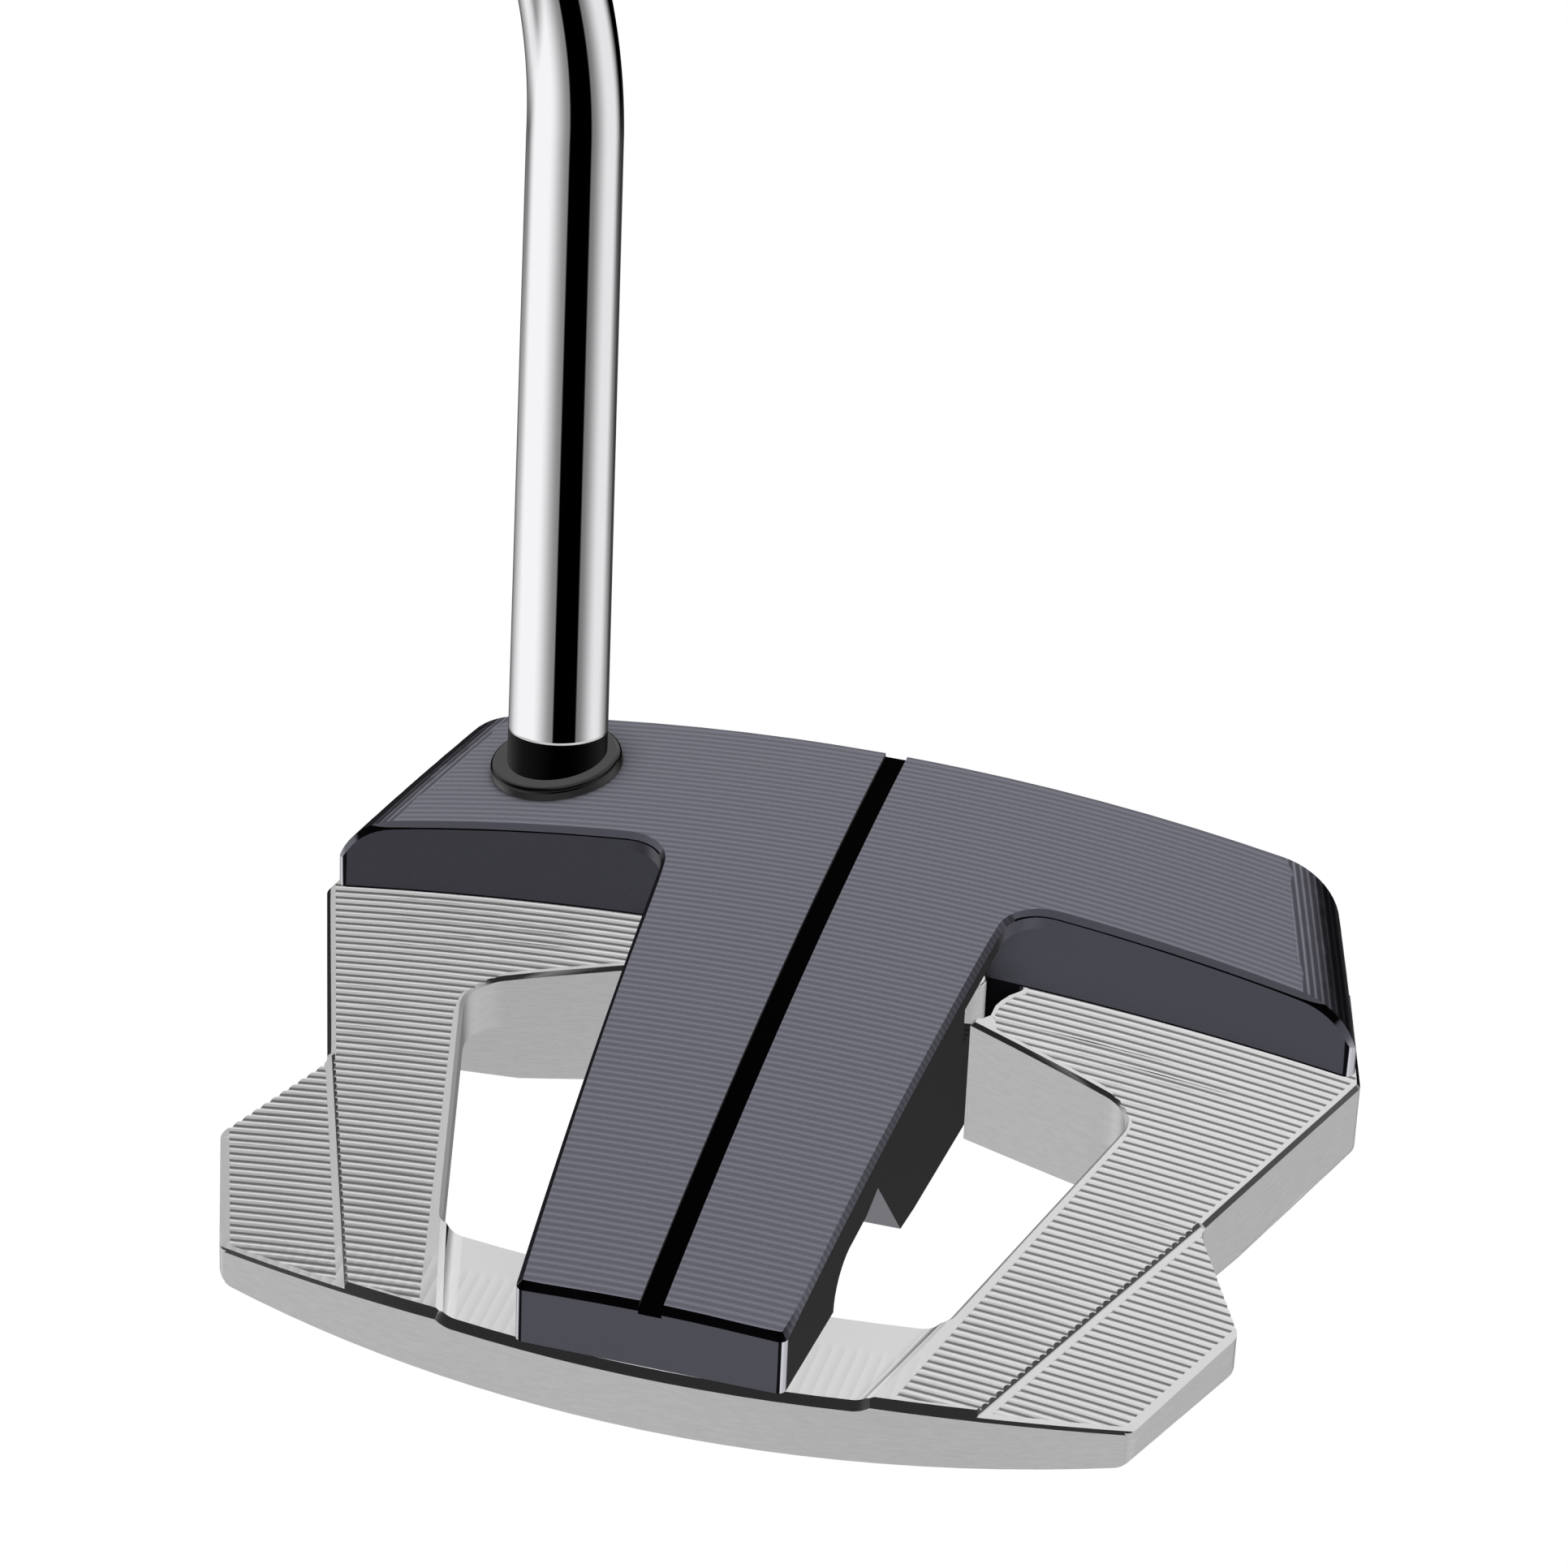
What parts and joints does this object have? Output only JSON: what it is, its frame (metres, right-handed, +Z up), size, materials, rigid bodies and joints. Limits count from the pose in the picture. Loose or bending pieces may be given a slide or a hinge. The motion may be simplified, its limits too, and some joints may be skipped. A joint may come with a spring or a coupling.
{
  "type": "mallet putter",
  "caption": "Right-handed mallet putter: dark anodised T-shaped crown on a milled steel wing frame, chrome shaft with a bend, ribbed rubber grip, sole weights that unscrew.",
  "frame": {"origin": "centre of the flat land of the sole", "axes": "+X from heel to toe, +Y towards the target (out of the face), +Z up with the club at address"},
  "size_m": [0.3581, 0.098, 0.8154],
  "materials": {
    "anodised_alloy": "satin, dark blue-grey anodised",
    "black_fill": "matt paint fill",
    "milled_stainless": "milled and satin",
    "damping_rubber": "matt",
    "dark_weight": "turned, satin",
    "screw_steel": "satin",
    "gloss_ferrule": "glossy black",
    "chrome_plate": "polished",
    "tape_paper": "paper tape",
    "grip_rubber": "matt, moulded pattern"
  },
  "bodies": {
    "club": {"crown_spine": "anodised_alloy", "sightline_fill": "black_fill", "wing_frame": "milled_stainless", "heel_pad": "damping_rubber", "toe_pad": "damping_rubber", "locating_dowels": "milled_stainless", "crossbar_screws": "screw_steel", "foot_screws": "screw_steel", "shaft_post": "screw_steel", "ferrule_ring": "gloss_ferrule", "ferrule_collar": "gloss_ferrule", "shaft": "chrome_plate", "grip_tape": "tape_paper", "grip": "grip_rubber", "grip_cap": "grip_rubber"},
    "heel_ring_body": {"heel_weight_ring": "damping_rubber"},
    "heel_weight_body": {"heel_weight": "dark_weight"},
    "toe_ring_body": {"toe_weight_ring": "damping_rubber"},
    "toe_weight_body": {"toe_weight": "dark_weight"}
  },
  "joints": [
    {"name": "heel_weight_travel", "type": "slide", "parent": "club", "child": "heel_ring_body", "axis": [0, 0, -1], "range_m": [0, 0.008]},
    {"name": "heel_weight_turn", "type": "hinge", "parent": "heel_ring_body", "child": "heel_weight_body", "pos_m": [-0.031, 0.0126, 0], "axis": [0, 0, -1], "range_deg": [0, 2880]},
    {"name": "toe_weight_travel", "type": "slide", "parent": "club", "child": "toe_ring_body", "axis": [0, 0, -1], "range_m": [0, 0.008]},
    {"name": "toe_weight_turn", "type": "hinge", "parent": "toe_ring_body", "child": "toe_weight_body", "pos_m": [0.031, 0.0126, 0], "axis": [0, 0, -1], "range_deg": [0, 2880]}
  ],
  "couplings": [
    {"joint": "heel_weight_turn", "follows": "heel_weight_travel", "rad_per_m": 6283.2},
    {"joint": "toe_weight_turn", "follows": "toe_weight_travel", "rad_per_m": 6283.2}
  ]
}
